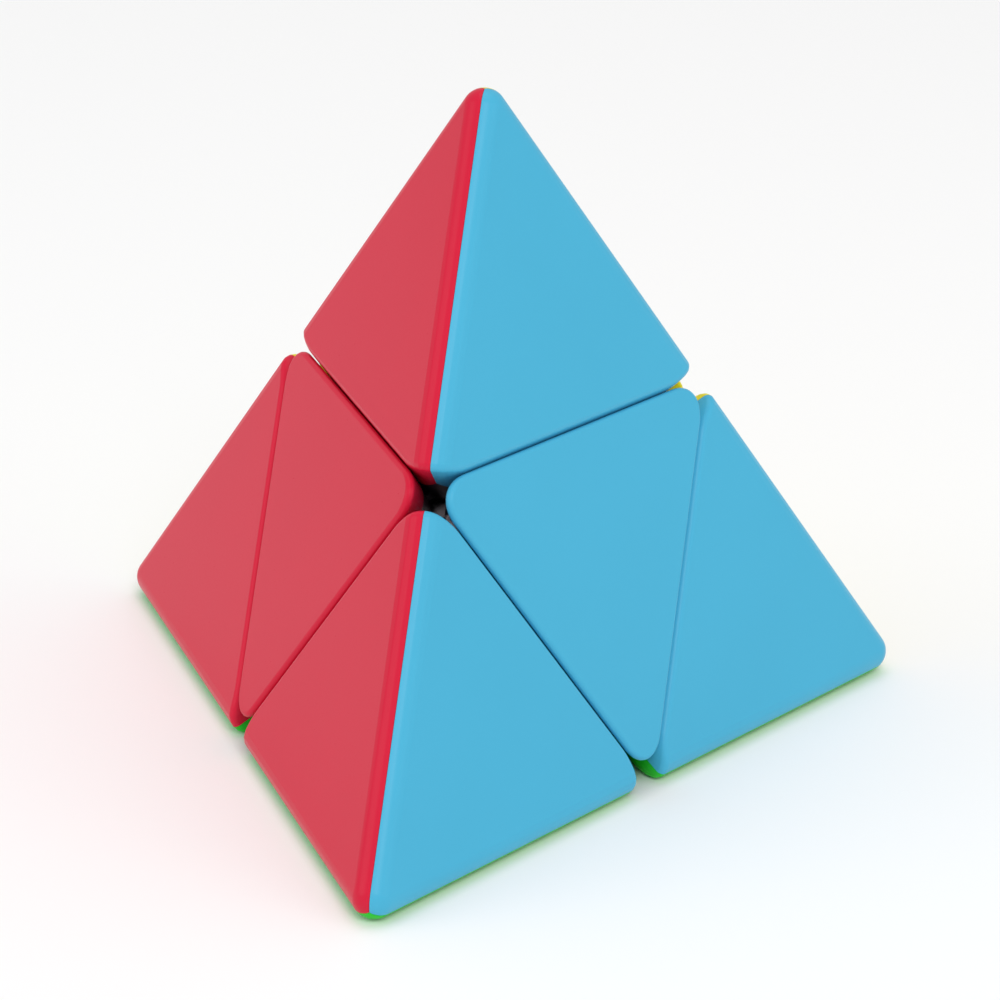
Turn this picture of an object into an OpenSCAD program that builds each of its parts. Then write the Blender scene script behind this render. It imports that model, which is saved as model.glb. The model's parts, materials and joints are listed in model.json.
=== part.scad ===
// Pyramid twisty puzzle: a tetrahedron cut into eight cubies that turn on three crossing axes.
//
// The puzzle is drawn in its turning frame, where X, Y and Z are the three turning axes and the
// tetrahedron's edges have their middles on them. puzzle_frame() then stands it on its green face.
// Each cubie fills one octant of the turning frame: four hold a corner of the pyramid, and the
// four between them hold the middle of a face.
//
// The mechanism is cut by planes and by spheres about the puzzle's centre, so that every sliding
// surface stays in contact with its neighbour at any angle of any layer. The caps' collars stand
// above it, and each cubie has a track that lets them pass.

/* [Puzzle] */
// Edge of the pyramid, measured between its sharp corners
edge_length = 80; // [76:1:90]
// Gap between neighbouring cubies
cubie_gap = 0.1; // [0.06:0.02:0.4]
// Thickness of the coloured shells
shell_wall = 1.8; // [1.4:0.1:2]
// Depth below the pyramid's faces that the coloured shells reach down the cuts
shell_depth = 3.2; // [2.4:0.1:3.4]
// Joint line left between two coloured shells of one cubie
seam = 0.03; // [0.02:0.01:0.1]

/* [Rounding] */
// Radius of the pyramid's own edges and corner tips
ridge_radius = 2; // [1.4:0.1:2.4]
// Radius of a corner cubie's edges beside the cuts
corner_edge_radius = 0.7; // [0.5:0.1:1]
// Radius of a centre cubie's edges beside the cuts
centre_edge_radius = 0.45; // [0.3:0.05:0.7]
// Radius, seen along a turning axis, of a corner cubie's corner at that axis
corner_plan_radius = 4; // [3:0.2:5]
// Radius, seen along a turning axis, of a centre cubie's corner at that axis
centre_plan_radius = 3.2; // [2.6:0.2:4.4]

/* [Mechanism] */
// Outer radius of the core, inside the feet
core_radius = 8.2; // [8:0.1:8.4]
// Radius at which the feet end and the flanges over them start
foot_radius = 10.9; // [10.7:0.1:11]
// Outer radius of the mechanism, under the cubies
flange_radius = 13.2; // [13:0.1:13.4]
// Distance from the centre of the cuts between feet
foot_cut = 3.4; // [3.3:0.05:3.5]
// Distance from the centre of the cuts between flanges
flange_cut = 5.2; // [5:0.1:5.3]
// Gap between two sliding surfaces of the mechanism
play = 0.16; // [0.12:0.02:0.2]
// Gap between the mechanism and the shells over it
shell_clearance = 0.3; // [0.25:0.05:0.4]
// Outer radius of the collar around each cap's well
collar_radius = 2.9; // [2.8:0.05:3]
// Distance from the centre to the collars' rims
collar_reach = 15.2; // [14.4:0.1:15.4]

/* [Screws and springs] */
// Radius of a screw's shank
shank_radius = 1; // [0.9:0.05:1.1]
// Radius of a screw's head
head_radius = 2.1; // [1.7:0.05:2.15]
// Height of a screw's head
head_height = 1.2; // [1:0.1:1.3]
// Thickness of the floor that a spring presses on, at the bottom of a cap's well
well_floor = 0.8; // [0.7:0.05:0.9]
// Radius of a cap's well
well_radius = 2.4; // [2.3:0.05:2.5]
// Thickness of a washer
washer_thickness = 0.25; // [0.2:0.05:0.3]
// Radius of the spring's wire
wire_radius = 0.2; // [0.15:0.01:0.22]
// Turns of a spring
spring_turns = 5; // [3:1:6]

/* [Hidden] */
// Distance from the centre to the middle of each edge of the pyramid, along a turning axis
axis_reach = edge_length / (2 * sqrt(2));
// Distance from the centre to each face of the pyramid
face_distance = axis_reach / sqrt(3);
// Angle between a turning axis and the diagonal of an octant
diagonal_tilt = atan(sqrt(2));
// Angle between a corner's diagonal and the normals of the three faces around it
face_tilt = acos(1 / 3);
// Size of a block that reaches past the whole puzzle
beyond = 2 * axis_reach;
// Gap between a cubie and the cut beside it
half_gap = cubie_gap / 2;
// Gap between a mechanism piece and the cut beside it
half_play = play / 2;
// Gap between a shell and the block inside it
block_fit = 0.1;
// Gap on each side of a washer, and at each end of a spring
stack_gap = 0.05;
// Radius that the block inside a corner cubie ends at, short of the hollow tip
block_reach = 27;
// Extra radius that lets the flat faces be cut exactly out of a rounded hull
hull_spare = 0.04;
// Radial clearance of the shank in a cap's bore and in the core
shank_clearance = 0.08;
// Radius of the core's arms and of its hub
arm_radius = 2.9;
hub_radius = 5;
// Depth from the centre at which the screws end
shank_start = 2.6;
// Places along an axis, from the centre outwards
well_bottom = core_radius + play + well_floor;
head_bottom = collar_reach - head_height - half_play;
washer_bottom = head_bottom - stack_gap - washer_thickness;
// Half-width and radius of the track that the collars sweep through
track_cut = collar_radius + shell_clearance;
track_radius = norm([collar_reach, collar_radius]) + shell_clearance;
// Outer radius of a washer
washer_radius = head_radius + 0.1;
// Slots of the cross recess in a screw's head
recess_width = 0.5;
recess_length = 2.4;
recess_depth = 0.7;
// Facets around a rounding: with other counts some shells' cuts do not close
rounding_facets = 24;
// Steps in one turn of a spring, and sides of its wire
spring_steps = 12;
wire_sides = 6;
$fn = 64;

RED = [0.80, 0.09, 0.15];
BLUE = [0.12, 0.47, 0.72];
YELLOW = [0.93, 0.83, 0.10];
GREEN = [0.10, 0.62, 0.25];
CHARCOAL = [0.13, 0.12, 0.13];
STEEL = [0.75, 0.76, 0.78];

// Six turning directions: name and direction in the turning frame
AXES = [
    ["front", [1, 0, 0]],
    ["right", [0, 1, 0]],
    ["left", [0, 0, 1]],
    ["back", [-1, 0, 0]],
    ["low_left", [0, -1, 0]],
    ["low_right", [0, 0, -1]],
];

// Twelve sliders, each between two turning directions
SLIDERS = [
    ["front_right", [1, 1, 0]],
    ["front_left", [1, 0, 1]],
    ["front_low_left", [1, -1, 0]],
    ["front_low_right", [1, 0, -1]],
    ["right_left", [0, 1, 1]],
    ["right_back", [-1, 1, 0]],
    ["right_low_right", [0, 1, -1]],
    ["left_back", [-1, 0, 1]],
    ["left_low_left", [0, -1, 1]],
    ["back_low_left", [-1, -1, 0]],
    ["back_low_right", [-1, 0, -1]],
    ["low_left_low_right", [0, -1, -1]],
];

// Corner cubies: name, octant, and the colours beside the planes across X, Y and Z
CORNERS = [
    ["top", [1, 1, 1], ["yellow", "red", "blue"]],
    ["near", [1, -1, -1], ["green", "blue", "red"]],
    ["right", [-1, 1, -1], ["blue", "green", "yellow"]],
    ["left", [-1, -1, 1], ["red", "yellow", "green"]],
];

// Face-centre cubies: colour and octant
CENTRES = [
    ["green", [-1, -1, -1]],
    ["yellow", [-1, 1, 1]],
    ["red", [1, -1, 1]],
    ["blue", [1, 1, -1]],
];

function paint(colour) =
    colour == "red" ? RED :
    colour == "blue" ? BLUE :
    colour == "yellow" ? YELLOW : GREEN;

// ---------- frames ----------

// Stands the turning frame on the green face, with the near corner towards -Y
module puzzle_frame() {
    translate([0, 0, face_distance])
        rotate([0, 0, -30])
            rotate([0, -diagonal_tilt, 0])
                rotate([0, 0, -45])
                    children();
}

// Turns the +X axis onto another turning direction
module along(direction) {
    rotate([0, direction[2] * -90, direction[1] * 90 + (direction[0] < 0 ? 180 : 0)]) children();
}

// Turns the octant (1, 1, 1) onto another corner's octant, half a turn about one axis
module onto_corner(octant) {
    if (octant == [1, 1, 1]) children();
    else rotate(180, [for (v = octant) max(v, 0)]) children();
}

// Turns the octant (1, 1, 1) onto a face centre's octant
module onto_centre(octant) {
    onto_corner(-octant) rotate(180, [1, -1, 0]) children();
}

// Turns +Z onto the diagonal of the octant (1, 1, 1)
module along_diagonal() {
    rotate([0, 0, 45]) rotate([0, diagonal_tilt, 0]) children();
}

// ---------- regions ----------

// Everything below a plane at a distance from the centre, with its normal tilted from +Z
module half_space(tilt, azimuth, distance) {
    rotate([0, tilt, azimuth])
        translate([-beyond, -beyond, distance - 2 * beyond])
            cube(2 * beyond);
}

// The block that a direction owns between cuts on both sides of the centre: it lies past the cut
// where the direction is not zero, and between the cuts where it is
module sector(direction, cut, gap) {
    low = [for (v = direction) v == 0 ? gap - cut : v > 0 ? cut + gap : -beyond];
    high = [for (v = direction) v == 0 ? cut - gap : v > 0 ? beyond : -cut - gap];
    translate(low) cube(high - low);
}

// The space between two spheres about the centre
module layer(inner, outer) {
    difference() {
        sphere(outer);
        sphere(inner);
    }
}

// The pyramid's corner in the octant (1, 1, 1), with its outer faces and its cuts moved inwards
module corner_region(face_inset, cut_inset) {
    intersection() {
        translate([1, 1, 1] * cut_inset) cube(beyond);
        along_diagonal()
            for_each_face() half_space(face_tilt, 0, face_distance - face_inset);
    }
}

// Intersects three copies about the diagonal, one for each outer face of a corner
module for_each_face() {
    intersection() {
        children();
        rotate(120) children();
        rotate(240) children();
    }
}

// The middle of a face in the octant (1, 1, 1), with its outer face and its cuts moved inwards
module centre_region(face_inset, cut_inset) {
    intersection() {
        translate([1, 1, 1] * cut_inset) cube(beyond);
        along_diagonal() half_space(0, 0, face_distance - face_inset);
    }
}

// The octant (1, 1, 1) with its three edges rounded, seen along each axis
module soft_octant(plan_radius) {
    for_each_axis()
        rotate([90, 0, 90])
            linear_extrude(beyond)
                translate([half_gap, half_gap]) {
                    translate([plan_radius, plan_radius]) circle(plan_radius);
                    translate([plan_radius, 0]) square(beyond);
                    translate([0, plan_radius]) square(beyond);
                }
}

// Intersects three copies, one turned to each axis
module for_each_axis() {
    intersection() {
        children();
        rotate(120, [1, 1, 1]) children();
        rotate(240, [1, 1, 1]) children();
    }
}

// The room beside the cuts of the octant (1, 1, 1) that the collars sweep through
module track() {
    difference() {
        sphere(track_radius);
        translate([1, 1, 1] * track_cut) cube(beyond);
    }
}

// ---------- rounded cubies ----------

// A cubie's corner at the X axis is rounded by small spheres on an arc about the axis's own
// direction. Each entry is a sphere's centre and radius. The outer faces fall away from the axis:
// on a corner cubie on both sides of a ridge, on a centre cubie as one flat face.
function plan_spheres(plan_radius, radii, is_corner) = [
    for (i = [0:len(radii) - 1])
        let (
            angle = 180 + 90 * i / (len(radii) - 1),
            arm = plan_radius - radii[i],
            y = half_gap + plan_radius + arm * cos(angle),
            z = half_gap + plan_radius + arm * sin(angle),
            drop = is_corner ? abs(y - z) : y + z
        )
        [[axis_reach - sqrt(3) * radii[i] - drop, y, z], radii[i]]
];

// The rounded end of a cubie at each of the octant's three axes
module axis_ends(plan_radius, radii, is_corner) {
    for (s = plan_spheres(plan_radius, radii, is_corner), turn = [0:2])
        translate([for (i = [0:2]) s[0][(i + turn) % 3]]) rounding(s[1]);
}

// A corner cubie's outer form, rounded all over
module corner_form() {
    tip_height = 3 * (face_distance - ridge_radius);
    hull() {
        along_diagonal() translate([0, 0, tip_height]) rounding(ridge_radius);
        axis_ends(corner_plan_radius, [corner_edge_radius, ridge_radius, corner_edge_radius], true);
        inner_corner(corner_edge_radius);
    }
}

// A centre cubie's outer form, rounded all over
module centre_form() {
    hull() {
        axis_ends(centre_plan_radius, [for (i = [0:4]) centre_edge_radius], false);
        inner_corner(centre_edge_radius);
    }
}

// The cubie's corner at the centre of the puzzle, which the mechanism's ball later cuts away
module inner_corner(radius) {
    translate([1, 1, 1] * (half_gap + radius)) rounding(radius);
}

module rounding(radius) {
    sphere(radius + hull_spare, $fn = rounding_facets);
}

// ---------- coloured shells ----------

// The third of an octant beside the plane across one axis (0, 1 or 2)
module third(axis) {
    azimuth = [120, 240, 0][axis];
    along_diagonal()
        rotate(azimuth)
            translate([seam / sqrt(3), 0, -beyond])
                linear_extrude(3 * beyond)
                    polygon([[0, 0], [beyond, -sqrt(3) * beyond], [beyond, sqrt(3) * beyond]]);
}

// One of a corner cubie's three shells: its outer face and the upper part of the wall beside it
module corner_shell(axis) {
    difference() {
        intersection() {
            corner_form();
            corner_region(0, half_gap);
            third(axis);
        }
        corner_region(shell_wall, half_gap + shell_wall);
        corner_region(shell_depth, -half_gap);
        track();
    }
}

// A centre cubie's shell: its outer face and the upper parts of its three walls
module centre_shell() {
    difference() {
        intersection() {
            centre_form();
            centre_region(0, half_gap);
        }
        centre_region(shell_wall, half_gap + shell_wall);
        centre_region(shell_depth, -half_gap);
        sphere(flange_radius + shell_clearance);
        track();
    }
}

// ---------- mechanism ----------

// A piece of the mechanism: a foot under its neighbours' flanges, and a flange or neck above it
module inner_piece(direction, top) {
    mid_foot = (core_radius + foot_radius) / 2;
    mid_flange = (foot_radius + flange_radius) / 2;
    intersection() {
        sector(direction, foot_cut, half_play);
        layer(core_radius + play, foot_radius - half_play);
    }
    intersection() {
        sector(direction, foot_cut, half_play);
        sector(direction, flange_cut, half_play);
        layer(mid_foot, mid_flange);
    }
    intersection() {
        sector(direction, flange_cut, half_play);
        layer(foot_radius + half_play, top);
    }
}

// Collar that carries the well above a cap's flange
module collar(direction) {
    start = (foot_radius + flange_radius) / 2;
    along(direction)
        translate([start, 0, 0])
            rotate([0, 90, 0])
                cylinder(h = collar_reach - start, r = collar_radius);
}

// Cap under one screw: the layer turns on it
module cap(direction) {
    color(CHARCOAL)
        puzzle_frame()
            difference() {
                union() {
                    inner_piece(direction, flange_radius);
                    collar(direction);
                }
                along(direction) rotate([0, 90, 0]) {
                    cylinder(h = beyond, r = shank_radius + shank_clearance);
                    translate([0, 0, well_bottom]) cylinder(h = beyond, r = well_radius);
                }
            }
}

// Slider between two caps: it hides under the gap between two cubies and holds their feet
module slider(direction) {
    color(CHARCOAL)
        puzzle_frame()
            inner_piece(direction, flange_radius);
}

// Foot, neck and inner block of a corner cubie
module corner_foot(octant) {
    color(CHARCOAL)
        puzzle_frame()
            onto_corner(octant) {
                inner_piece([1, 1, 1], flange_radius + 2 * shell_clearance);
                difference() {
                    intersection() {
                        union() {
                            corner_region(shell_wall + block_fit, half_gap + shell_wall + block_fit);
                            corner_region(shell_depth + block_fit, half_gap);
                        }
                        soft_octant(corner_plan_radius);
                        layer(flange_radius + shell_clearance, block_reach);
                    }
                    track();
                }
            }
}

// Foot, neck and inner block of a face-centre cubie
module centre_foot(octant) {
    color(CHARCOAL)
        puzzle_frame()
            onto_centre(octant) {
                inner_piece([1, 1, 1], flange_radius + 2 * shell_clearance);
                difference() {
                    intersection() {
                        union() {
                            centre_region(shell_wall + block_fit, half_gap + shell_wall + block_fit);
                            centre_region(shell_depth + block_fit, half_gap);
                        }
                        soft_octant(centre_plan_radius);
                        layer(flange_radius + shell_clearance, block_reach);
                    }
                    track();
                }
            }
}

// Core: a hub with six arms, drilled for the screws
module core() {
    color(CHARCOAL)
        puzzle_frame()
            intersection() {
                difference() {
                    union() {
                        sphere(hub_radius);
                        for (a = AXES)
                            along(a[1]) rotate([0, 90, 0]) cylinder(h = beyond, r = arm_radius);
                    }
                    for (a = AXES)
                        along(a[1])
                            translate([shank_start - play, 0, 0])
                                rotate([0, 90, 0])
                                    cylinder(h = beyond, r = shank_radius + shank_clearance);
                }
                sphere(core_radius);
            }
}

// ---------- fasteners ----------

// Screw with a pan head and a cross recess
module screw() {
    translate([shank_start, 0, 0])
        rotate([0, 90, 0])
            cylinder(h = head_bottom - shank_start + head_height / 2, r = shank_radius);
    difference() {
        translate([head_bottom, 0, 0])
            rotate([0, 90, 0])
                cylinder(h = head_height, r = head_radius);
        for (turn = [0, 90])
            rotate([turn, 0, 0])
                translate([head_bottom + head_height - recess_depth, -recess_length / 2, -recess_width / 2])
                    cube([head_height, recess_length, recess_width]);
    }
}

// Washer between a spring and its screw's head
module washer() {
    translate([washer_bottom, 0, 0])
        rotate([0, 90, 0])
            difference() {
                cylinder(h = washer_thickness, r = washer_radius);
                translate([0, 0, -washer_thickness])
                    cylinder(h = 3 * washer_thickness, r = shank_radius + shank_clearance);
            }
}

// Compression spring: a round wire wound about the X axis
module spring() {
    coil_radius = (well_radius + shank_radius) / 2;
    start = well_bottom + stack_gap + wire_radius;
    height = washer_bottom - stack_gap - wire_radius - start;
    count = spring_turns * spring_steps;
    points = [
        for (i = [0:count])
            for (j = [0:wire_sides - 1])
                let (
                    turn = 360 * i / spring_steps,
                    around = 360 * j / wire_sides,
                    r = coil_radius + wire_radius * cos(around)
                )
                [start + height * i / count + wire_radius * sin(around), r * cos(turn), r * sin(turn)]
    ];
    sides = [
        for (i = [0:count - 1])
            for (j = [0:wire_sides - 1])
                let (k = (j + 1) % wire_sides, a = i * wire_sides, b = a + wire_sides)
                [a + j, a + k, b + k, b + j]
    ];
    ends = [
        [for (j = [wire_sides - 1:-1:0]) j],
        [for (j = [0:wire_sides - 1]) count * wire_sides + j],
    ];
    polyhedron(points, concat(sides, ends));
}

module axis_screws() {
    color(STEEL)
        puzzle_frame()
            for (a = AXES)
                along(a[1]) screw();
}

module axis_washers() {
    color(STEEL)
        puzzle_frame()
            for (a = AXES)
                along(a[1]) washer();
}

module axis_springs() {
    color(STEEL)
        puzzle_frame()
            for (a = AXES)
                along(a[1]) spring();
}

// ---------- every node ----------

core();
axis_screws();
axis_springs();
axis_washers();
for (a = AXES)
    cap(a[1]);
for (s = SLIDERS)
    slider(s[1]);
for (c = CORNERS)
    corner_foot(c[1]);
for (c = CENTRES)
    centre_foot(c[1]);
for (c = CORNERS)
    for (axis = [0, 1, 2])
        color(paint(c[2][axis])) puzzle_frame() onto_corner(c[1]) corner_shell(axis);
for (c = CENTRES)
    color(paint(c[0])) puzzle_frame() onto_centre(c[1]) centre_shell();
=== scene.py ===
"""Looks of the pyramid twisty puzzle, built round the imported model.

The puzzle's own frame has the three turning axes as X, Y and Z and its centre as the origin. Its
cubies are built there, in the octant (1, 1, 1), and turned into place: four hold a corner of the
pyramid and four the middle of a face. Lengths are in metres.
"""

import json
import math

import bmesh
import bpy
from mathutils import Matrix, Vector


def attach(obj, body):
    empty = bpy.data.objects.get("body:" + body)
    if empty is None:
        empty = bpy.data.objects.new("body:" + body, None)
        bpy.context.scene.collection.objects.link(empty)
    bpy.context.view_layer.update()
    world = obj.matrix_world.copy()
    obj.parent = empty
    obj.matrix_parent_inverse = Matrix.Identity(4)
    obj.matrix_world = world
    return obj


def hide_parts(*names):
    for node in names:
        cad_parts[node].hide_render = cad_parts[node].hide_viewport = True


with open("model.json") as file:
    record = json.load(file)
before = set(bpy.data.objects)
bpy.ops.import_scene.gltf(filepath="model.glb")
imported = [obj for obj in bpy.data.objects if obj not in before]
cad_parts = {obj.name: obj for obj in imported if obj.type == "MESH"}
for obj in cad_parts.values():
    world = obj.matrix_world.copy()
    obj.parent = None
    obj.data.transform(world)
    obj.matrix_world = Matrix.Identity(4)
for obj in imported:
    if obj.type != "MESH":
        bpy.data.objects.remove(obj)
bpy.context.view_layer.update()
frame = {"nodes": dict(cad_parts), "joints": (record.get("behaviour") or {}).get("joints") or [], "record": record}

MM = 0.001

# ---------- the frame's own sizes ----------

JOINTS = {joint["name"]: joint for joint in frame["joints"]}
CENTRE = Vector(JOINTS["front_turn"]["pos_m"])
TURNING_AXES = [Vector(JOINTS[name]["axis"]) for name in ("front_turn", "right_turn", "left_turn")]
TO_ROW = Matrix.Translation(CENTRE) @ Matrix(TURNING_AXES).transposed().to_4x4()
FACE_DISTANCE = CENTRE.z
AXIS_REACH = FACE_DISTANCE * math.sqrt(3)
BEYOND = 3 * AXIS_REACH
BODY_OF = {node: body for body, nodes in frame["record"]["behaviour"]["bodies"].items() for node in nodes}

# ---------- the shells' sizes ----------

HALF_GAP = 0.05 * MM
SHELL_WALL = 1.8 * MM
SHELL_DEPTH = 3.2 * MM
HALF_SEAM = 0.015 * MM
RIDGE_RADIUS = 2.0 * MM
CORNER_EDGE_RADIUS = 0.7 * MM
CENTRE_EDGE_RADIUS = 0.45 * MM
CORNER_PLAN_RADIUS = 4.0 * MM
CENTRE_PLAN_RADIUS = 3.2 * MM
BALL_RADIUS = 13.5 * MM
TRACK_CUT = 3.2 * MM
TRACK_RADIUS = 15.77 * MM
RIM_BEVEL = 0.05 * MM

ARC_STEPS = 14
FAN_CUTS = 9
ROUND_SEGMENTS = 128
SHARP_ANGLE = math.radians(30)
CREASE_ANGLE = math.radians(45)
FLAT_ANGLE = math.radians(0.2)
WELD_DISTANCE = 0.001 * MM
CUT_DISTANCE = 0.000001 * MM

# ---------- the screws', springs' and washers' sizes; places are distances from the centre ----------

SHANK_START = 2.6 * MM
SHANK_RADIUS = 1.0 * MM
THREAD_END = 7.6 * MM
THREAD_PITCH = 0.7 * MM
THREAD_DEPTH = 0.22 * MM
THREAD_STEPS = 12
HEAD_BOTTOM = 13.92 * MM
HEAD_HEIGHT = 1.2 * MM
HEAD_RADIUS = 2.1 * MM
HEAD_DOME = 0.35 * MM
RECESS_REACH = 1.2 * MM
RECESS_WIDTH = 0.5 * MM
RECESS_DEPTH = 0.8 * MM
# Shares of the recess's reach and width that are left at its floor
FLOOR_REACH = 0.55
FLOOR_WIDTH = 0.7
WASHER_BOTTOM = 13.62 * MM
WASHER_TOP = 13.87 * MM
WASHER_BORE = 1.08 * MM
WASHER_RADIUS = 2.2 * MM
WASHER_EDGE = 0.03 * MM
SPRING_FROM = 9.41 * MM
SPRING_TO = 13.37 * MM
SPRING_RADIUS = 1.7 * MM
SPRING_TURNS = 5
WIRE_RADIUS = 0.2 * MM

SCREW_SEGMENTS = 48
DOME_STEPS = 8
SPRING_STEPS = 40
WIRE_SIDES = 12

# ---------- directions ----------

DIAGONAL = Vector((1, 1, 1)).normalized()
AXES = [Vector((1, 0, 0)), Vector((0, 1, 0)), Vector((0, 0, 1))]
OUTER = [(DIAGONAL * math.sqrt(3) - 2 * axis).normalized() for axis in AXES]


# ---------- mesh helpers ----------


def new_object(name, bm):
    """An object in the scene with this bmesh's faces."""
    mesh = bpy.data.meshes.new(name)
    bm.to_mesh(mesh)
    bm.free()
    obj = bpy.data.objects.new(name, mesh)
    bpy.context.scene.collection.objects.link(obj)
    return obj


def keep_below(bm, normal, distance):
    """Cuts away what lies past a plane, and closes the cut."""
    everything = bm.verts[:] + bm.edges[:] + bm.faces[:]
    cut = bmesh.ops.bisect_plane(
        bm, geom=everything, dist=CUT_DISTANCE, plane_co=normal * distance, plane_no=normal, clear_outer=True
    )
    edges = [item for item in cut["geom_cut"] if isinstance(item, bmesh.types.BMEdge)]
    if edges:
        bmesh.ops.contextual_create(bm, geom=edges)


def cell(planes):
    """The convex solid below every (normal, distance) plane."""
    bm = bmesh.new()
    bmesh.ops.create_cube(bm, size=BEYOND)
    for normal, distance in planes:
        keep_below(bm, normal, distance)
    return bm


def fan(normals):
    """Directions spread evenly over the sphere, with the faces' normals and the arcs between them."""
    bm = bmesh.new()
    for normal in normals:
        bm.verts.new(normal)
    bmesh.ops.convex_hull(bm, input=bm.verts[:])
    bmesh.ops.triangulate(bm, faces=bm.faces[:])
    bmesh.ops.subdivide_edges(bm, edges=bm.edges[:], cuts=FAN_CUTS, use_grid_fill=True)
    directions = [vert.co.normalized() for vert in bm.verts]
    bm.free()
    return directions


def rounded_hull(spheres, normals):
    """The smooth skin stretched over spheres, given as (centre, radius)."""
    directions = fan(normals)
    bm = bmesh.new()
    for middle, radius in spheres:
        for direction in directions:
            bm.verts.new(middle + direction * radius)
    hull = bmesh.ops.convex_hull(bm, input=bm.verts[:])
    inside = {item for key in ("geom_interior", "geom_unused") for item in hull[key]}
    bmesh.ops.delete(bm, geom=[v for v in inside if isinstance(v, bmesh.types.BMVert)], context="VERTS")
    bmesh.ops.remove_doubles(bm, verts=bm.verts[:], dist=WELD_DISTANCE)
    bmesh.ops.dissolve_limit(bm, angle_limit=FLAT_ANGLE, verts=bm.verts[:], edges=bm.edges[:])
    return bm


# ---------- cubie forms, in the octant (1, 1, 1) ----------


def cut_planes(inset):
    """The octant's three cuts, moved inwards."""
    return [(-axis, -inset) for axis in AXES]


def all_axes(point):
    """A point beside the X axis, and its copies beside Y and Z."""
    return [Vector([point[(i + turn) % 3] for i in range(3)]) for turn in range(3)]


def end_arc(plan_radius, edge_radius, reach):
    """Centres of the spheres that round a cubie's end at an axis; reach gives their height there."""
    arm = plan_radius - edge_radius
    for step in range(ARC_STEPS + 1):
        angle = math.pi + math.pi / 2 * step / ARC_STEPS
        y = HALF_GAP + plan_radius + arm * math.cos(angle)
        z = HALF_GAP + plan_radius + arm * math.sin(angle)
        yield Vector((reach(y, z), y, z))


def corner_reach(y, z):
    """Height along the axis under a corner cubie's two faces and the rounded ridge between them."""
    across = abs(y - z) / math.sqrt(2)
    spare = RIDGE_RADIUS - CORNER_EDGE_RADIUS
    if across < spare * math.sqrt(2 / 3):
        return AXIS_REACH - math.sqrt(3) * RIDGE_RADIUS + math.sqrt(spare**2 - across**2)
    return AXIS_REACH - math.sqrt(3) * CORNER_EDGE_RADIUS - math.sqrt(2) * across


def centre_reach(y, z):
    """Height along the axis under a centre cubie's flat face."""
    return AXIS_REACH - math.sqrt(3) * CENTRE_EDGE_RADIUS - y - z


def corner_form():
    """A corner cubie: three outer faces meeting at the pyramid's tip, and three cuts."""
    tip = DIAGONAL * 3 * (FACE_DISTANCE - RIDGE_RADIUS)
    inner = Vector((1, 1, 1)) * (HALF_GAP + CORNER_EDGE_RADIUS)
    spheres = [(tip, RIDGE_RADIUS), (inner, CORNER_EDGE_RADIUS)]
    for point in end_arc(CORNER_PLAN_RADIUS, CORNER_EDGE_RADIUS, corner_reach):
        spheres += [(turned, CORNER_EDGE_RADIUS) for turned in all_axes(point)]
    between_cuts = [(axis - Vector((1, 1, 1))).normalized() for axis in AXES]
    normals = OUTER + [-axis for axis in AXES] + AXES + between_cuts
    return rounded_hull(spheres, normals)


def centre_form():
    """A face-centre cubie: one outer face and three cuts."""
    inner = Vector((1, 1, 1)) * (HALF_GAP + CENTRE_EDGE_RADIUS)
    spheres = [(inner, CENTRE_EDGE_RADIUS)]
    for point in end_arc(CENTRE_PLAN_RADIUS, CENTRE_EDGE_RADIUS, centre_reach):
        spheres += [(turned, CENTRE_EDGE_RADIUS) for turned in all_axes(point)]
    between_cuts = [(axis - Vector((1, 1, 1))).normalized() for axis in AXES]
    normals = [DIAGONAL] + [-axis for axis in AXES] + between_cuts
    return rounded_hull(spheres, normals)


def subtract(obj, cutter):
    """Cuts one solid out of another, and removes the cutter."""
    modifier = obj.modifiers.new("cut", "BOOLEAN")
    modifier.object = cutter
    modifier.operation = "DIFFERENCE"
    modifier.solver = "EXACT"
    apply_modifiers(obj)
    bpy.data.objects.remove(cutter)


def apply_modifiers(obj):
    """Writes the modifiers' result into the object's mesh."""
    depsgraph = bpy.context.evaluated_depsgraph_get()
    mesh = bpy.data.meshes.new_from_object(obj.evaluated_get(depsgraph))
    old = obj.data
    obj.modifiers.clear()
    obj.data = mesh
    bpy.data.meshes.remove(old)


def ball(radius):
    """A fine sphere about the puzzle's centre, as a cutter."""
    bm = bmesh.new()
    bmesh.ops.create_uvsphere(bm, u_segments=ROUND_SEGMENTS, v_segments=ROUND_SEGMENTS // 2, radius=radius)
    return new_object("cutter", bm)


def hollow(obj, face_normals):
    """Cuts away what lies deep below the outer faces, and the space inside the walls."""
    for depth, inset in ((SHELL_WALL, HALF_GAP + SHELL_WALL), (SHELL_DEPTH, -HALF_GAP)):
        inner_planes = [(normal, FACE_DISTANCE - depth) for normal in face_normals] + cut_planes(inset)
        subtract(obj, new_object("cutter", cell(inner_planes)))


def clear_mechanism(obj):
    """Cuts the space for the mechanism's ball and for the track of the caps' collars."""
    subtract(obj, ball(BALL_RADIUS))
    track = ball(TRACK_RADIUS)
    subtract(track, new_object("cutter", cell(cut_planes(TRACK_CUT))))
    subtract(obj, track)


def soften_rims(obj):
    """A fine bevel on every sharp rim, and normals that keep the flat faces flat."""
    bevel = obj.modifiers.new("rims", "BEVEL")
    bevel.width = RIM_BEVEL
    bevel.segments = 2
    bevel.limit_method = "ANGLE"
    bevel.angle_limit = SHARP_ANGLE
    bevel.miter_outer = "MITER_ARC"
    apply_modifiers(obj)
    for polygon in obj.data.polygons:
        polygon.use_smooth = True
    obj.data.set_sharp_from_angle(angle=CREASE_ANGLE)
    weighted = obj.modifiers.new("flat_faces", "WEIGHTED_NORMAL")
    weighted.keep_sharp = True
    apply_modifiers(obj)


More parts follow.
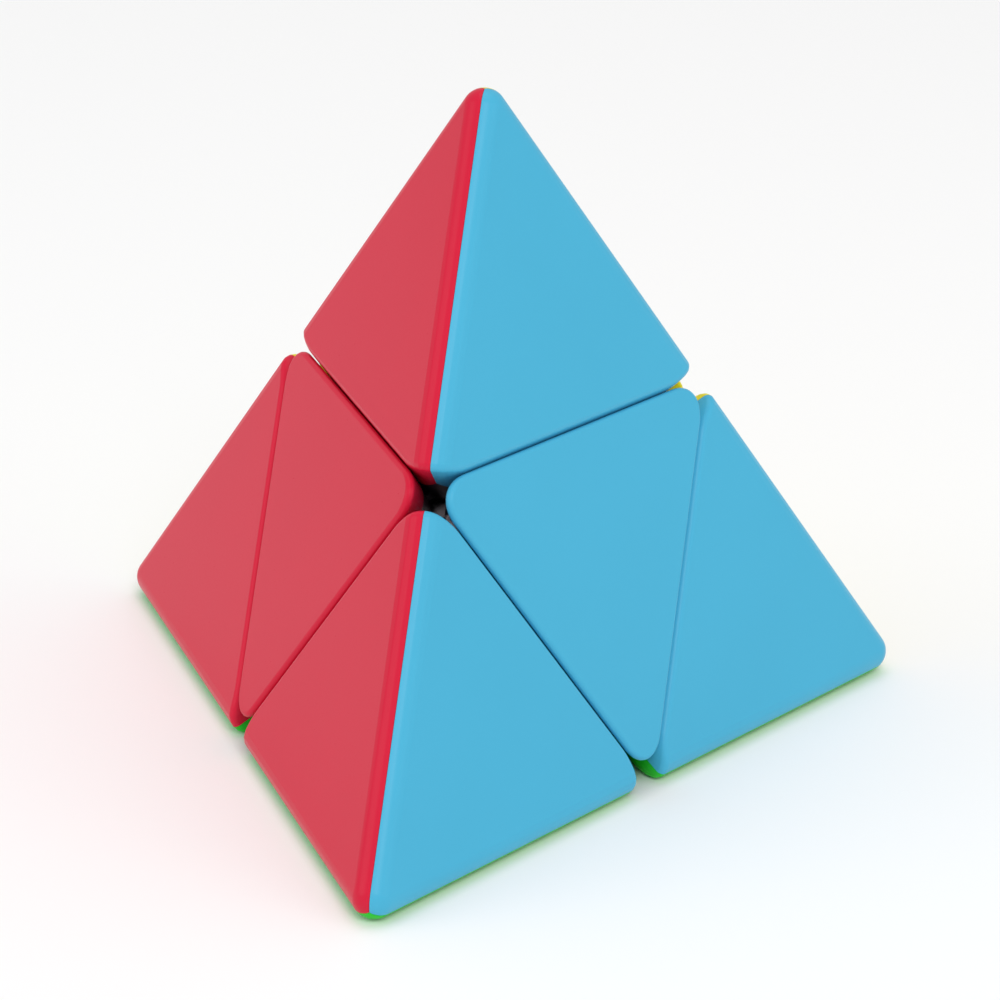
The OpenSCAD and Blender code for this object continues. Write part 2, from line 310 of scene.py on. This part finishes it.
def corner_shell():
    """The third of a corner cubie beside the cut across X: one outer face and one wall."""
    bm = corner_form()
    for other in (1, 2):
        keep_below(bm, (AXES[0] - AXES[other]).normalized(), -HALF_SEAM)
    obj = new_object("corner_shell", bm)
    hollow(obj, OUTER)
    soften_rims(obj)
    return obj


def centre_shell():
    """A face-centre cubie's shell: its outer face and three walls."""
    obj = new_object("centre_shell", centre_form())
    hollow(obj, [DIAGONAL])
    clear_mechanism(obj)
    soften_rims(obj)
    return obj


# ---------- screws, springs and washers, drawn along the X axis ----------


def skin_rings(rings, closed=True):
    """A mesh through rings of points, each joined to the next, with its ends closed or joined up."""
    bm = bmesh.new()
    loops = [[bm.verts.new(point) for point in ring] for ring in rings]
    pairs = list(zip(loops, loops[1:]))
    if closed:
        bm.faces.new(loops[0])
        bm.faces.new(loops[-1][::-1])
    else:
        pairs.append((loops[-1], loops[0]))
    for lower, upper in pairs:
        for i in range(len(lower)):
            k = (i + 1) % len(lower)
            bm.faces.new((lower[i], upper[i], upper[k], lower[k]))
    bmesh.ops.recalc_face_normals(bm, faces=bm.faces[:])
    return bm


def circle(x, radius, segments):
    """Points of a circle about the X axis."""
    angles = [2 * math.pi * i / segments for i in range(segments)]
    return [(x, radius * math.cos(a), radius * math.sin(a)) for a in angles]


def thread_ring(x):
    """A ring round the shank: a triangular thread that fades out below the plain neck."""
    fade = min(1, (THREAD_END - x) / THREAD_PITCH)
    ring = []
    for i in range(SCREW_SEGMENTS):
        phase = (x / THREAD_PITCH - i / SCREW_SEGMENTS) % 1
        radius = SHANK_RADIUS - THREAD_DEPTH * fade * (1 - abs(2 * phase - 1))
        angle = 2 * math.pi * i / SCREW_SEGMENTS
        ring.append((x, radius * math.cos(angle), radius * math.sin(angle)))
    return ring


def recess_arm():
    """One arm of the cross recess, along Y: full size at the head's top, and smaller at its floor."""
    top = HEAD_BOTTOM + HEAD_HEIGHT
    floor_end = (top - RECESS_DEPTH, FLOOR_REACH, FLOOR_WIDTH)
    far_end = (top + RECESS_DEPTH, 2 - FLOOR_REACH, 2 - FLOOR_WIDTH)
    rings = []
    for x, reach, width in (floor_end, far_end):
        y, z = RECESS_REACH * reach, RECESS_WIDTH / 2 * width
        rings.append([(x, -y, -z), (x, y, -z), (x, y, z), (x, -y, z)])
    return skin_rings(rings)


def screw():
    """A screw: a domed pan head with a cross recess, a plain neck and a thread."""
    count = round((THREAD_END - SHANK_START) / THREAD_PITCH * THREAD_STEPS)
    rings = [thread_ring(SHANK_START + (THREAD_END - SHANK_START) * i / count) for i in range(count + 1)]
    rings.append(circle(HEAD_BOTTOM, SHANK_RADIUS, SCREW_SEGMENTS))
    rings.append(circle(HEAD_BOTTOM, HEAD_RADIUS - RIM_BEVEL, SCREW_SEGMENTS))
    rings.append(circle(HEAD_BOTTOM + RIM_BEVEL, HEAD_RADIUS, SCREW_SEGMENTS))
    for step in range(DOME_STEPS + 1):
        angle = math.pi / 2 * step / DOME_STEPS
        x = HEAD_BOTTOM + HEAD_HEIGHT - HEAD_DOME * (1 - math.sin(angle))
        rings.append(circle(x, HEAD_RADIUS - 2 * HEAD_DOME * (1 - math.cos(angle)), SCREW_SEGMENTS))
    obj = new_object("screw", skin_rings(rings))
    for turn in (math.pi / 4, -math.pi / 4):
        arm = recess_arm()
        bmesh.ops.rotate(arm, verts=arm.verts[:], matrix=Matrix.Rotation(turn, 3, "X"))
        subtract(obj, new_object("cutter", arm))
    return obj


def spring():
    """A compression spring of round wire, cut square at its ends."""
    count = SPRING_TURNS * SPRING_STEPS
    rings = []
    for i in range(count + 1):
        x = SPRING_FROM + (SPRING_TO - SPRING_FROM) * i / count
        turn = 2 * math.pi * i / SPRING_STEPS
        ring = []
        for j in range(WIRE_SIDES):
            around = 2 * math.pi * j / WIRE_SIDES
            radius = SPRING_RADIUS + WIRE_RADIUS * math.cos(around)
            along = x + WIRE_RADIUS * math.sin(around)
            ring.append((along, radius * math.cos(turn), radius * math.sin(turn)))
        rings.append(ring)
    return new_object("spring", skin_rings(rings))


def washer():
    """A flat washer with broken edges."""
    profile = [
        (WASHER_BOTTOM, WASHER_BORE + WASHER_EDGE),
        (WASHER_BOTTOM, WASHER_RADIUS - WASHER_EDGE),
        (WASHER_BOTTOM + WASHER_EDGE, WASHER_RADIUS),
        (WASHER_TOP - WASHER_EDGE, WASHER_RADIUS),
        (WASHER_TOP, WASHER_RADIUS - WASHER_EDGE),
        (WASHER_TOP, WASHER_BORE + WASHER_EDGE),
        (WASHER_TOP - WASHER_EDGE, WASHER_BORE),
        (WASHER_BOTTOM + WASHER_EDGE, WASHER_BORE),
    ]
    rings = [circle(x, radius, SCREW_SEGMENTS) for x, radius in profile]
    return new_object("washer", skin_rings(rings, closed=False))


# ---------- materials ----------


def srgb(red, green, blue):
    """A colour given in 0-255 steps, as the renderer wants it."""
    return [((c / 255 + 0.055) / 1.055) ** 2.4 for c in (red, green, blue)] + [1]


def plastic(name, colour, roughness, grain, specular):
    """Moulded ABS: a fine spark-eroded grain, uneven gloss and a slightly uneven tone."""
    material = bpy.data.materials.new(name)
    material.use_nodes = True
    nodes, links = material.node_tree.nodes, material.node_tree.links
    shader = nodes["Principled BSDF"]
    place = nodes.new("ShaderNodeTexCoord")

    flow = nodes.new("ShaderNodeTexNoise")
    flow.inputs["Scale"].default_value = 60
    flow.inputs["Detail"].default_value = 3
    links.new(place.outputs["Object"], flow.inputs["Vector"])
    tone = nodes.new("ShaderNodeMix")
    tone.data_type = "RGBA"
    tone.inputs["A"].default_value = colour
    tone.inputs["B"].default_value = [c * 0.94 for c in colour[:3]] + [1]
    links.new(flow.outputs["Fac"], tone.inputs["Factor"])
    links.new(tone.outputs["Result"], shader.inputs["Base Color"])

    fine = nodes.new("ShaderNodeTexNoise")
    fine.inputs["Scale"].default_value = 5200
    fine.inputs["Detail"].default_value = 2
    links.new(place.outputs["Object"], fine.inputs["Vector"])
    gloss = nodes.new("ShaderNodeMapRange")
    gloss.inputs["To Min"].default_value = roughness - 0.05
    gloss.inputs["To Max"].default_value = roughness + 0.05
    links.new(fine.outputs["Fac"], gloss.inputs["Value"])
    links.new(gloss.outputs["Result"], shader.inputs["Roughness"])

    bump = nodes.new("ShaderNodeBump")
    bump.inputs["Strength"].default_value = grain
    bump.inputs["Distance"].default_value = 0.02 * MM
    links.new(fine.outputs["Fac"], bump.inputs["Height"])
    links.new(bump.outputs["Normal"], shader.inputs["Normal"])
    shader.inputs["Specular IOR Level"].default_value = specular
    return material


def steel(name, colour, roughness):
    """Plated steel with fine brushing and uneven gloss."""
    material = bpy.data.materials.new(name)
    material.use_nodes = True
    nodes, links = material.node_tree.nodes, material.node_tree.links
    shader = nodes["Principled BSDF"]
    shader.inputs["Metallic"].default_value = 1
    place = nodes.new("ShaderNodeTexCoord")
    fine = nodes.new("ShaderNodeTexNoise")
    fine.inputs["Scale"].default_value = 3500
    links.new(place.outputs["Object"], fine.inputs["Vector"])
    tone = nodes.new("ShaderNodeMix")
    tone.data_type = "RGBA"
    tone.inputs["A"].default_value = colour
    tone.inputs["B"].default_value = [c * 0.8 for c in colour[:3]] + [1]
    links.new(fine.outputs["Fac"], tone.inputs["Factor"])
    links.new(tone.outputs["Result"], shader.inputs["Base Color"])
    gloss = nodes.new("ShaderNodeMapRange")
    gloss.inputs["To Min"].default_value = roughness - 0.06
    gloss.inputs["To Max"].default_value = roughness + 0.06
    links.new(fine.outputs["Fac"], gloss.inputs["Value"])
    links.new(gloss.outputs["Result"], shader.inputs["Roughness"])
    return material


SHELL_FINISH = {"roughness": 0.3, "grain": 0.12, "specular": 0.15}
MECHANISM_FINISH = {"roughness": 0.35, "grain": 0.2, "specular": 0.5}
MATERIALS = {
    "red_shell": plastic("red_abs", srgb(211, 30, 60), **SHELL_FINISH),
    "blue_shell": plastic("blue_abs", srgb(75, 178, 214), **SHELL_FINISH),
    "yellow_shell": plastic("yellow_abs", srgb(238, 224, 30), **SHELL_FINISH),
    "green_shell": plastic("green_abs", srgb(44, 200, 48), **SHELL_FINISH),
    "mechanism": plastic("charcoal_abs", srgb(82, 64, 72), **MECHANISM_FINISH),
    "screw_steel": steel("zinc_plate", srgb(168, 162, 168), 0.3),
    "spring_steel": steel("spring_wire", srgb(180, 180, 184), 0.3),
    "washer_steel": steel("washer_plate", srgb(196, 196, 196), 0.3),
}


def dress(obj, slot):
    """Gives a piece or a CAD node the material of its slot."""
    obj.data.materials.clear()
    obj.data.materials.append(MATERIALS[slot])


# ---------- the shells, turned into place ----------


def octant_turn(signs):
    """Turns the octant (1, 1, 1) onto a corner's octant: half a turn about the axis left positive."""
    return Matrix.Diagonal(signs).to_4x4()


# Half a turn that carries the octant (1, 1, 1) onto (-1, -1, -1)
TURNED_OVER = Matrix.Rotation(math.pi, 4, Vector((1, -1, 0)))

CORNERS = {"top": (1, 1, 1), "near": (1, -1, -1), "right": (-1, 1, -1), "left": (-1, -1, 1)}
CENTRES = {"green": (-1, -1, -1), "yellow": (-1, 1, 1), "red": (1, -1, 1), "blue": (1, 1, -1)}
COLOURS = {
    "top": ("yellow", "red", "blue"),
    "near": ("green", "blue", "red"),
    "right": ("blue", "green", "yellow"),
    "left": ("red", "yellow", "green"),
}


def place_shell(master, turn, name, colour):
    """A copy of a shell, turned into place, riding on its cubie's body."""
    obj = bpy.data.objects.new(name + ".skin", master.data.copy())
    bpy.context.scene.collection.objects.link(obj)
    obj.data.transform(TO_ROW @ turn)
    slot = colour + "_shell"
    dress(obj, slot)
    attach(obj, BODY_OF[name])
    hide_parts(name)


corner_master = corner_shell()
for corner, signs in CORNERS.items():
    for axis, colour in enumerate(COLOURS[corner]):
        third = Matrix.Rotation(2 * math.pi * axis / 3, 4, DIAGONAL)
        place_shell(corner_master, octant_turn(signs) @ third, f"shell_{corner}_{colour}", colour)
bpy.data.objects.remove(corner_master)

centre_master = centre_shell()
for colour, signs in CENTRES.items():
    turn = octant_turn([-sign for sign in signs]) @ TURNED_OVER
    place_shell(centre_master, turn, f"shell_centre_{colour}", colour)
bpy.data.objects.remove(centre_master)


# ---------- the screws, springs and washers, turned onto the axes ----------


def place_on_axes(master, node, slot):
    """One piece of six copies, turned from +X onto the six turning directions."""
    bm = bmesh.new()
    for direction in AXES + [-axis for axis in AXES]:
        mesh = master.data.copy()
        mesh.transform(TO_ROW @ AXES[0].rotation_difference(direction).to_matrix().to_4x4())
        bm.from_mesh(mesh)
        bpy.data.meshes.remove(mesh)
    bpy.data.objects.remove(master)
    obj = new_object(node + ".skin", bm)
    obj.data.shade_smooth()
    obj.data.set_sharp_from_angle(angle=SHARP_ANGLE)
    dress(obj, slot)
    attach(obj, BODY_OF[node])
    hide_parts(node)


place_on_axes(screw(), "axis_screws", "screw_steel")
place_on_axes(washer(), "axis_washers", "washer_steel")
place_on_axes(spring(), "axis_springs", "spring_steel")

for subpart in frame["record"]["subparts"]:
    if subpart["material_slot"] == "mechanism":
        dress(frame["nodes"][subpart["node"]], "mechanism")

# ---------- stage, lights and camera; places in metres, power in watts ----------


def floor():
    """A pale floor that reaches far behind the puzzle."""
    bm = bmesh.new()
    bmesh.ops.create_grid(bm, x_segments=1, y_segments=1, size=4)
    obj = new_object("floor", bm)
    obj.location.z = -0.05 * MM
    material = bpy.data.materials.new("pale_floor")
    material.use_nodes = True
    shader = material.node_tree.nodes["Principled BSDF"]
    shader.inputs["Base Color"].default_value = (0.96, 0.96, 0.96, 1)
    shader.inputs["Roughness"].default_value = 0.7
    obj.data.materials.append(material)


def softbox(name, place, size, power):
    """A square soft light aimed at the puzzle."""
    light = bpy.data.lights.new(name, "AREA")
    light.shape = "SQUARE"
    light.size = size
    light.energy = power
    obj = bpy.data.objects.new(name, light)
    obj.location = place
    obj.rotation_euler = (CENTRE - Vector(place)).to_track_quat("-Z", "Y").to_euler()
    bpy.context.scene.collection.objects.link(obj)


def studio():
    """Even white surroundings with soft lights above and to both sides."""
    world = bpy.data.worlds.new("studio")
    world.use_nodes = True
    background = world.node_tree.nodes["Background"]
    background.inputs["Color"].default_value = (1, 1, 1, 1)
    background.inputs["Strength"].default_value = 0.65
    bpy.context.scene.world = world
    softbox("key", (0.28, -0.72, 0.78), 0.45, 3.1)
    softbox("left_fill", (-0.85, -0.45, 0.45), 0.6, 1.6)
    softbox("right_fill", (0.9, -0.3, 0.45), 0.6, 0.8)
    softbox("top", (0.0, 0.2, 1.1), 0.8, 2.2)


def camera():
    """The viewpoint: a long lens, a little to the right of the near corner and above it."""
    data = bpy.data.cameras.new("camera")
    data.sensor_width = 36
    data.lens = 157.7
    obj = bpy.data.objects.new("camera", data)
    azimuth, elevation = math.radians(10.39), math.radians(23.28)
    level = math.cos(elevation)
    towards_eye = Vector((math.sin(azimuth) * level, -math.cos(azimuth) * level, math.sin(elevation)))
    obj.location = CENTRE + towards_eye * 403 * MM
    aim = CENTRE + Vector((2.1, 2.6, 4.9)) * MM
    look = (aim - obj.location).to_track_quat("-Z", "Y").to_matrix()
    obj.rotation_euler = (look @ Matrix.Rotation(math.radians(1.89), 3, "Z")).to_euler()
    bpy.context.scene.collection.objects.link(obj)
    bpy.context.scene.camera = obj


floor()
studio()
camera()
bpy.context.scene.view_settings.view_transform = "Standard"
